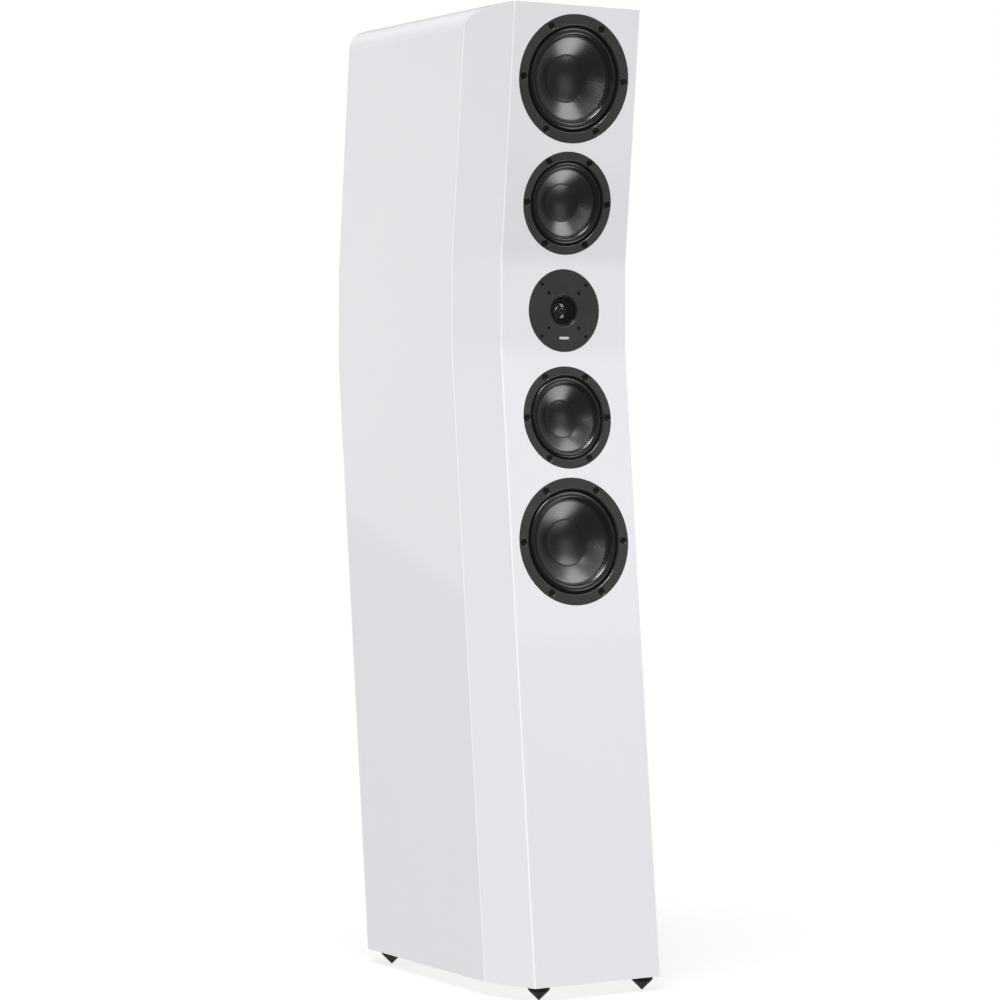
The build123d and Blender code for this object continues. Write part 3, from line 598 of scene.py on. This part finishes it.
def voice_coil(name, seat, size):
    """Former and winding."""
    turns, winding_top, winding_bottom = 13, -54.4, -68.0
    wire = (winding_top - winding_bottom) / turns
    profile = [(18.2, -26.4), (18.5, -26.4), (18.5, -54.0)]
    for n in range(turns):
        profile += arc((18.95, winding_top - wire * (n + 0.5)), wire / 2, 70, -70, 4)
    profile += [(18.5, winding_bottom), (18.2, winding_bottom)]
    piece = turned(f"{name}_coil", profile, seat, "copper_winding", 72, size=size)
    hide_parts(f"{name}_voice_coil")
    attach(piece, f"{name}_diaphragm")


def spider(name, seat, size):
    """Corrugated cloth disc."""
    steps, depth, thickness = 64, 1.8, 0.6
    crest = []
    for n in range(steps + 1):
        t = n / steps
        crest.append((22.5 + 22.0 * t, -42 + depth * sin(8 * pi * t)))
    top = [(18.75, -41.4), *[(r, w + thickness) for r, w in crest], (50.9, -41.4)]
    bottom = [(50.9, -42.0), *reversed(crest), (18.75, -42.0)]
    piece = turned(f"{name}_spider_cloth", top + bottom, seat, "spider_cloth", 96, size=size)
    flex(piece)
    return piece


def cone_driver(name):
    """A woofer or midrange. Gives back its spider and screw heads, whose CAD nodes several drivers share."""
    axis = JOINTS[f"{name}_excursion"]["axis"]
    seat, flange = place(f"{name}_basket", axis)
    size = flange / WOOFER_FLANGE
    chassis(name, seat, size, flange)
    surround(name, seat, size)
    cone(name, seat, size)
    voice_coil(name, seat, size)
    heads = [
        socket_head(f"{name}_screw_{n}", 3.95, 2.0, -2.55, seat @ spot)
        for n, spot in enumerate(spots(SCREWS, SCREW_SHARE * flange))
    ]
    return spider(name, seat, size), heads


# ---------------------------------------------------------------- tweeter

def tweeter():
    """Faceplate with its screws and bar, grid, and dome with its surround."""
    seat, flange = place("tweeter_faceplate", JOINTS["tweeter_excursion"]["axis"])
    front = path(
        (20.9, -0.2, 0.9), (flange, 0, 0.6), (flange, -4, 0.3), (38, -4), (38, -9.2), (16.8, -9.2),
        (17.6, -2.7, 0.3), (20.9, -2.7), steps=5,
    )
    plate = turned("tweeter_plate", front, seat, "dark_faceplate", 180)
    places = [*spots(4, 48.5, 45), *spots(4, 32.7, 45)]
    cut(plate, [recess_cutter(2.6, 1.8, seat @ spot, 0.2, 28) for spot in places])
    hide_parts("tweeter_faceplate")
    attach(plate, ROOT)
    heads = join([
        socket_head(f"tweeter_screw_{n}", 2.3, 1.45, -1.75, seat @ spot, around=36)
        for n, spot in enumerate(places)
    ])
    heads.name = "tweeter_screw_heads"
    weighted_normals(heads)
    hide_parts("tweeter_screws")
    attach(heads, ROOT)
    grid(seat)
    dome(seat)
    badge(seat)


def dome(seat):
    """Bright dome with its former, and the roll between it and the faceplate."""
    rim_level, rise, wide = -8.9, 4.5, 12.9
    thickness, steps = 0.25, 24
    radius, start = shallow_sphere(wide, rise)
    angles = [start * n / steps for n in range(steps + 1)]
    outer = [(radius * sin(a), rim_level + rise - radius * (1 - cos(a))) for a in angles]
    inner = [(r, w - thickness) for r, w in outer[:-1]]
    outer[-1] = (wide, rim_level)
    profile = [*outer, (wide, -14.4), (12.6, -14.4), (12.6, -9.3), *reversed(inner)]
    shell = turned("tweeter_dome_shell", profile, seat, "dome_metal", 128)
    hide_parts("tweeter_dome")
    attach(shell, "tweeter_diaphragm")

    centre = (14.5, -9.5)
    roll = arc(centre, 1.3, 0, 180, 12)
    under = arc(centre, 1.0, 180, 0, 12)
    profile = [(19, -9.2), *roll[1:-1], (12.95, -9.2), (12.95, -9.5), *under[1:-1], (19, -9.5)]
    edge = turned("tweeter_surround_roll", profile, seat, "tweeter_edge", 96)
    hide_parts("tweeter_surround")
    flex(edge)


def grid(seat):
    """Fine cell grid in front of the dome: hexagonal cells within a rim, with a small plug in the middle."""
    pitch, wire, reach = 3.2, 0.8, 19.0
    low, high, bevel = -2.5, -1.5, 0.12
    cell = pitch / 2 / cos(pi / 6)
    hole = cell * (1 - wire / pitch)
    vertices, faces = [], []
    rows = int(reach / (1.5 * cell)) + 1
    columns = int(reach / pitch) + 2
    for row in range(-rows, rows + 1):
        for column in range(-columns, columns + 1):
            x = (column + (row % 2) / 2) * pitch
            y = row * 1.5 * cell
            if hypot(x, y) > reach:
                continue
            base = len(vertices)
            for radius, level in ((cell, low), (hole, low), (cell, high), (hole, high - bevel)):
                for n in range(6):
                    angle = pi / 6 + n * pi / 3
                    vertices.append((x + radius * cos(angle), y + radius * sin(angle), level))
            low_out, low_in, high_out, high_in = base, base + 6, base + 12, base + 18
            for n in range(6):
                m = (n + 1) % 6
                faces.append((high_out + n, high_out + m, high_in + m, high_in + n))
                faces.append((low_out + n, low_in + n, low_in + m, low_out + m))
                faces.append((high_in + n, high_in + m, low_in + m, low_in + n))
                faces.append((low_out + n, low_out + m, high_out + m, high_out + n))
    cells = mesh_piece("tweeter_grid", vertices, faces, seat, "black_grid", smooth=False)
    rim = path((18.7, -2.55), (20.75, -2.55), (20.75, -1.25, 0.3), (18.7, -1.25, 0.5), steps=4)
    plug = path((0, -2.6), (2.3, -2.6), (2.3, -1.1, 0.6), (0, -1.0), closed=False)
    join([
        cells,
        turned("tweeter_grid_rim", rim, seat, "black_grid", 120),
        turned("tweeter_grid_plug", plug, seat, "black_grid", 40),
    ])
    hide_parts("tweeter_diffuser")
    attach(cells, ROOT)


def badge(seat):
    """Plain raised bar with round ends on the tweeter plate."""
    wide, tall, corner, bevel = 15.0, 3.4, 1.6, 0.15
    below_centre = 36.3
    rings = []
    for inset, level in ((0, -0.1), (0, 0.08), (bevel, 0.16)):
        outline = rounded_rectangle(wide - 2 * inset, tall - 2 * inset, corner - inset, 6)
        rings.append([(x, y - below_centre, level) for x, y in outline])
    bar = loft("tweeter_badge", rings, seat, "badge_ink")
    weighted_normals(bar)
    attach(bar, ROOT)


def rounded_rectangle(wide, tall, corner, steps):
    """Points round a rectangle with rounded corners, anticlockwise from its right side."""
    points = []
    for n, (sx, sy) in enumerate(((1, 1), (-1, 1), (-1, -1), (1, -1))):
        middle = (sx * (wide / 2 - corner), sy * (tall / 2 - corner))
        points += arc(middle, corner, 90 * n, 90 * n + 90, steps)
    return points


# ---------------------------------------------------------------- rear

ACROSS_REAR = (-1, 0, 0)  # the X direction of a fitting that faces the rear


def ports():
    """Two flared port tubes, with a fine rib round each mouth."""
    lean = JOINTS["terminal_left_travel"]["axis"]
    low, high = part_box("port_tubes")
    middle = (low.z + high.z) / 2
    flare = arc((39.5, -12), 12, 90, 180, 18)
    inner_lip = arc((28.75, -121.8), 1.2, 180, 360, 6)
    outer_lip = arc((45.1, -0.9), 0.9, 0, 90, 5)
    profile = [
        *flare, (27.5, -60), (27.5, -121.5), *inner_lip, (30, -60), (30, -17.5), (41.5, -6), (41.5, -3),
        (46, -3), *outer_lip, (42.6, 0), (42.3, -0.35), (41.9, -0.35), (41.6, 0),
    ]
    tubes = []
    for n, (lower, out) in enumerate(((True, lean), (False, (0, lean[1], -lean[2])))):
        seat, _ = place("port_tubes", out, ACROSS_REAR, lambda point: (point.z < middle) == lower)
        tubes.append(turned(f"port_tube_{n}", profile, seat, "port_plastic", 128))
    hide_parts("port_tubes")
    for tube in tubes:
        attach(tube, ROOT)


def terminals():
    """Terminal plate with its binding posts, knobs and screws. Gives back the screw heads."""
    axis = JOINTS["terminal_left_travel"]["axis"]
    seat, _ = place("terminal_plate", axis, ACROSS_REAR)
    widest, corner_radius, well_corner = 116, 8, 6
    rings = []
    for wide, tall, level in (
        (116, 76, -4), (116, 76, -1.2), (115.2, 75.2, -0.5), (113.6, 73.6, -0.05), (112, 72, 0), (88, 48, 0),
        (86.6, 46.6, -0.3), (85.8, 45.8, -0.9), (85, 45, -0.9),
    ):
        corner = corner_radius - (widest - wide) / 2 if wide > 100 else well_corner
        rings.append([(x, y, level) for x, y in rounded_rectangle(wide, tall, corner, 8)])
    plate = loft("terminal_plate_moulding", rings, seat, "terminal_plastic")
    corners = [across_face(x * 49, y * 29) for x in (-1, 1) for y in (-1, 1)]
    posts = [across_face(x * 19, 0) for x in (-1, 1)]
    cutters = [recess_cutter(4.6, 2.6, seat @ spot, 0.3) for spot in corners]
    cutters += [recess_cutter(3.1, 6, seat @ spot, 0.1) for spot in posts]
    cut(plate, cutters)
    weighted_normals(plate)
    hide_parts("terminal_plate")
    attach(plate, ROOT)
    heads = [socket_head(f"plate_screw_{n}", 3.95, 2.0, -2.55, seat @ spot) for n, spot in enumerate(corners)]
    binding_posts(seat, posts)
    for side in SIDES:
        knob(side, axis)
    return heads


def binding_posts(seat, places):
    """Two threaded posts, each with a nut, a plug socket in its end and a hole across it."""
    pitch, turns = 1.0, 19
    crest, root, thread_start = 4.0, 3.62, 2.9
    shank = path((3, -20, 0.3), (3, 0), closed=False)
    thread = [(0, -20), *shank, (7.5, 0), (7.5, 2.0), (7.1, 2.4), (4, 2.4)]
    for turn in range(turns):
        w = thread_start + turn * pitch
        thread += [(crest, w), (root, w + pitch * 0.5)]
    thread += [(4.0, 21.4), (3.6, 22.0), (2.35, 22.0), (2.0, 21.7), (2.0, 7.5), (0, 7.5)]
    nut = [(3.05, -8), (5.6, -8), (6, -7.6), (6, -4.4), (5.6, -4), (3.05, -4)]
    flats = hexagon(6.0)

    def six_sided(r, w, angle):
        return flats(angle) * r / 6 if r > 4 else r

    brass = []
    for n, spot in enumerate(places):
        brass.append(turned(f"binding_post_{n}", thread, seat @ spot, "plated_brass", 48))
        brass.append(turned(f"post_nut_{n}", nut, seat @ spot, "plated_brass", 48, shape=six_sided))
    pair = join(brass)
    pair.name = "binding_post_pair"
    rise, lie = Matrix.Translation((0, 0, 4.9 * MM)), Matrix.Rotation(pi / 2, 4, "Y")
    drill = [(0, -12), (1.9, -12), (1.9, 12), (0, 12)]
    drills = [seat @ spot @ rise @ lie for spot in places]
    cut(pair, [turned("cutter", drill, matrix, "plated_brass", 24, even=False) for matrix in drills])
    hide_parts("binding_posts")
    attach(pair, ROOT)


def knob(side, axis):
    """Fluted binding-post knob with a coloured ring round its end, and the washer that it turns on."""
    seat, _ = place(f"terminal_knob_{side}", axis, ACROSS_REAR)
    flutes, depth, radius = 12, 0.75, 8.5
    flute_front, flute_rear = -2.2, -16.5

    def fluted(r, w, angle):
        if r < 7.2 or not flute_rear <= w <= flute_front:
            return r
        here = depth * min(1, (w - flute_rear) / 2.0, flute_front - w)
        return r - here * (0.5 + 0.5 * cos(flutes * angle)) ** 3

    outline = path(
        (radius, -21.9, 0.4), (radius, 0, 0.8), (2.75, 0, 0.4), (2.75, -3.4), (4.35, -3.4), (4.35, -21.9),
        steps=5,
    )
    profile = with_levels(outline, radius, [-21.0 + n * 0.9 for n in range(22)], -15)
    body = turned(f"knob_{side}", profile, seat, "terminal_plastic", 144, shape=fluted)
    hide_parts(f"terminal_knob_{side}")
    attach(body, f"knob_{side}")
    colour = "ring_red" if side == "left" else "ring_black"
    band = path((6.9, -0.3), (7.6, -0.3), (7.6, 0.06, 0.05), (6.9, 0.06, 0.05))
    band = turned(f"knob_{side}_band", band, seat, colour, 96)
    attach(band, f"knob_{side}")
    seat, _ = place(f"terminal_washer_{side}", axis, ACROSS_REAR)
    disc = path((4.35, -1.5, 0.2), (8, -1.5, 0.25), (8, 0, 0.25), (4.35, 0, 0.2))
    washer = turned(f"washer_{side}", disc, seat, "plated_brass", 72)
    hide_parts(f"terminal_washer_{side}")
    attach(washer, f"washer_{side}")


# ---------------------------------------------------------------- feet

def foot(corner):
    """Knurled lock ring, and the spike with its threaded stud."""
    low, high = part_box(f"spike_{corner}")
    stand = Matrix.Translation(((low.x + high.x) / 2, (low.y + high.y) / 2, 0))
    spike_profile = [
        (0, 0), (0.7, 0.05), (1.15, 0.35), (1.6, 0.95), (12.9, 12.0), (13.3, 12.55), (13.45, 13.0),
        (13.4, 13.5), (13.0, 13.8), (3.9, 13.85),
    ]
    pitch, crest, root, top = 1.25, 3.9, 3.45, 35.5
    level = 14.2
    while level < top - pitch:
        spike_profile += [(crest, level), (root, level + pitch / 2)]
        level += pitch
    spike_profile += [(3.5, top - 0.6), (3.0, top), (0, top)]
    spike = turned(f"spike_{corner}_cone", spike_profile, stand, "black_spike", 96)
    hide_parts(f"spike_{corner}")
    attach(spike, f"spike_{corner}")

    radius, bottom, top, rounding = 14.55, 14.02, 18.42, 0.55
    grooves, depth = 36, 0.45

    def knurled(r, w, angle):
        if r < 14 or not 14.6 < w < 17.9:
            return r
        return r - depth * (0.5 + 0.5 * cos(grooves * angle)) ** 2

    outline = path((4.25, bottom), (radius, bottom, rounding), (radius, top, rounding), (4.25, top), steps=3)
    profile = with_levels(outline, radius, (14.61, 15.0, 16.2, 17.4, 17.85), 16)
    ring = turned(f"lock_ring_{corner}_disc", profile, stand, "black_spike", 216, shape=knurled)
    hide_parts(f"lock_ring_{corner}")
    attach(ring, f"lock_ring_{corner}")


# ---------------------------------------------------------------- inside the cabinet

def pads():
    """Soft wadding on the side walls, a little lumpy toward the room inside."""
    thickness, taper, hollows, lumps = 0.020, 0.010, 0.0035, 28
    source = frame["nodes"]["damping_pads"]
    work = bmesh.new()
    work.from_mesh(source.data)
    bmesh.ops.remove_doubles(work, verts=work.verts, dist=0.00001)
    mesh = bpy.data.meshes.new("wadding_pads")
    work.to_mesh(mesh)
    work.free()
    piece = bpy.data.objects.new("wadding_pads", mesh)
    bpy.context.scene.collection.objects.link(piece)
    remesh = piece.modifiers.new("even", "REMESH")
    remesh.mode, remesh.voxel_size = "VOXEL", 0.007
    graph = bpy.context.evaluated_depsgraph_get()
    even = bpy.data.meshes.new_from_object(piece.evaluated_get(graph))
    piece.modifiers.clear()
    piece.data = even
    bpy.data.meshes.remove(mesh)
    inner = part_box("damping_pads")[1].x - thickness
    for vertex in even.vertices:
        spot = vertex.co
        depth = min(max((abs(spot.x) - inner) / taper, 0), 1)
        pull = hollows * (1 - depth) * (0.5 + 0.5 * noise.noise(spot * lumps))
        spot.x += pull if spot.x > 0 else -pull
    for polygon in even.polygons:
        polygon.use_smooth = True
    even.materials.clear()
    even.materials.append(LOOKS["wadding"])
    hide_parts("damping_pads")
    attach(piece, ROOT)


# ---------------------------------------------------------------- the whole speaker

PANELS = ("front_baffle", "left_side_panel", "right_side_panel", "rear_panel", "top_panel", "bottom_panel")
CARRIED_OVER = {
    **{panel: "gloss_white_lacquer" for panel in PANELS},
    "inner_boards": "raw_board",
    "driver_gaskets": "gasket_foam",
    "woofer_motors": "motor_steel",
    "midrange_motors": "motor_steel",
    "tweeter_motor": "motor_steel",
    "crossover_board": "circuit_board",
    "crossover_coils": "copper_winding",
    "crossover_capacitors": "capacitor_sleeve",
    "wiring_harness": "cable_sheath",
    "spike_inserts": "plated_brass",
}
for node, look in CARRIED_OVER.items():
    mesh = frame["nodes"][node].data
    mesh.materials.clear()
    mesh.materials.append(LOOKS[look])

screws = []
spiders = {"woofer": [], "midrange": []}
for name in WOOFERS + MIDRANGES:
    cloth, heads = cone_driver(name)
    screws += heads
    spiders[name.split("_")[0]].append(cloth)
for kind, cloths in spiders.items():
    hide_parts(f"{kind}_spiders")
tweeter()
ports()
screws += terminals()
screw_piece = join(screws)
screw_piece.name = "mounting_screw_heads"
screw_piece.data.transform(screw_piece.matrix_world)  # into the scene's axes
screw_piece.matrix_world = Matrix()
weighted_normals(screw_piece)
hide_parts("mounting_screws")
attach(screw_piece, ROOT)
for corner in SPIKES:
    foot(corner)
pads()


# ---------------------------------------------------------------- floor, lights and camera

def floor(glow):
    """A pale floor that glows a little and isn't mirrored by glossy faces."""
    wide, colour, roughness = 14.0, (0.12, 0.12, 0.12), 0.9
    mesh = bpy.data.meshes.new("floor")
    corners = [(-wide, -wide, 0), (wide, -wide, 0), (wide, wide, 0), (-wide, wide, 0)]
    mesh.from_pydata(corners, [], [(0, 1, 2, 3)])
    material = principled("pale_floor", colour, roughness, Emission_Strength=glow)
    material.node_tree.nodes["Principled BSDF"].inputs["Emission Color"].default_value = (1, 1, 1, 1)
    mesh.materials.append(material)
    piece = bpy.data.objects.new("floor", mesh)
    bpy.context.scene.collection.objects.link(piece)
    piece.visible_glossy = False


def softbox(name, position, toward, size, radiance, roll=0.0, spread=180):
    """A rectangular light that shines along toward. Its roll and its spread are in degrees."""
    light = bpy.data.lights.new(name, "AREA")
    light.shape, light.size, light.size_y = "RECTANGLE", size[0], size[1]
    light.energy, light.spread = radiance * pi * size[0] * size[1], radians(spread)
    lamp = bpy.data.objects.new(name, light)
    bpy.context.scene.collection.objects.link(lamp)
    turn = Vector(toward).to_track_quat("-Z", "Y").to_matrix().to_4x4()
    lamp.matrix_world = Matrix.Translation(position) @ turn @ Matrix.Rotation(radians(roll), 4, "Z")


def sun(name, toward, strength, spread):
    """A far light that shines along toward, spread over an angle in degrees."""
    light = bpy.data.lights.new(name, "SUN")
    light.energy, light.angle = strength, radians(spread)
    lamp = bpy.data.objects.new(name, light)
    bpy.context.scene.collection.objects.link(lamp)
    lamp.rotation_euler = Vector(toward).to_track_quat("-Z", "Y").to_euler()


def studio(front, back):
    """A room with brighter walls behind the speaker than before it. The camera sees it as plain white."""
    sky = bpy.data.worlds.new("studio")
    bpy.context.scene.world = sky
    sky.use_nodes = True
    tree = sky.node_tree
    nodes, links = tree.nodes, tree.links
    split = nodes.new("ShaderNodeSeparateXYZ")
    links.new(coordinates(tree).outputs["Generated"], split.inputs["Vector"])
    level = map_range(tree, split.outputs["Y"], (-0.6, 0.2), (front, back), "SMOOTHSTEP")
    walls = nodes["Background"]
    links.new(level, walls.inputs["Strength"])
    walls.inputs["Color"].default_value = (1, 1, 1, 1)
    backdrop = nodes.new("ShaderNodeBackground")
    backdrop.inputs["Color"].default_value = (1, 1, 1, 1)
    ray = nodes.new("ShaderNodeLightPath")
    choose = nodes.new("ShaderNodeMixShader")
    links.new(ray.outputs["Is Camera Ray"], choose.inputs["Fac"])
    links.new(walls.outputs["Background"], choose.inputs[1])
    links.new(backdrop.outputs["Background"], choose.inputs[2])
    links.new(choose.outputs["Shader"], nodes["World Output"].inputs["Surface"])


def camera():
    """The photo's own view, as fitted."""
    lens, sensor = 119.23, 36.0
    position, target = Vector((-2.3193, -3.8830, 0.7502)), Vector((-0.0151, -0.0170, 0.6453))
    data = bpy.data.cameras.new("camera")
    data.lens, data.sensor_width = lens, sensor
    data.clip_start, data.clip_end = 0.1, 100
    eye = bpy.data.objects.new("camera", data)
    bpy.context.scene.collection.objects.link(eye)
    eye.rotation_mode = "QUATERNION"
    eye.location = position
    eye.rotation_quaternion = (target - position).to_track_quat("-Z", "Y")
    bpy.context.scene.camera = eye


floor(glow=0.79)
studio(front=0.08, back=0.40)
sun("key", (0.27, 0.20, -1.0), strength=3.65, spread=30)
sun("high_right", (-0.50, 0.52, -0.69), strength=0.75, spread=36)
softbox("side_card", (-1.678, 2.619, 1.128), (0.487, -0.873, 0), (1.4, 1.2), radiance=0.40, roll=-36.7)
softbox("dome_strip", (-0.468, -2.315, 1.88), (0.468, 2.125, -0.91), (2.16, 0.09), radiance=4.0, roll=51.4)
softbox("low_card", (1.05, -0.80, 0.02), (-0.85, 0.65, 1.2), (1.3, 0.8), radiance=0.7, spread=90)
softbox("rear_card", (-1.0, 0.65, 0.95), (0.875, -0.6, 0), (0.5, 1.4), radiance=0.35)
softbox("front_card", (1.53, -2.77, 1.45), (-1.53, 2.58, 0), (1.2, 1.3), radiance=0.6)
camera()
bpy.context.scene.view_settings.view_transform = "Standard"
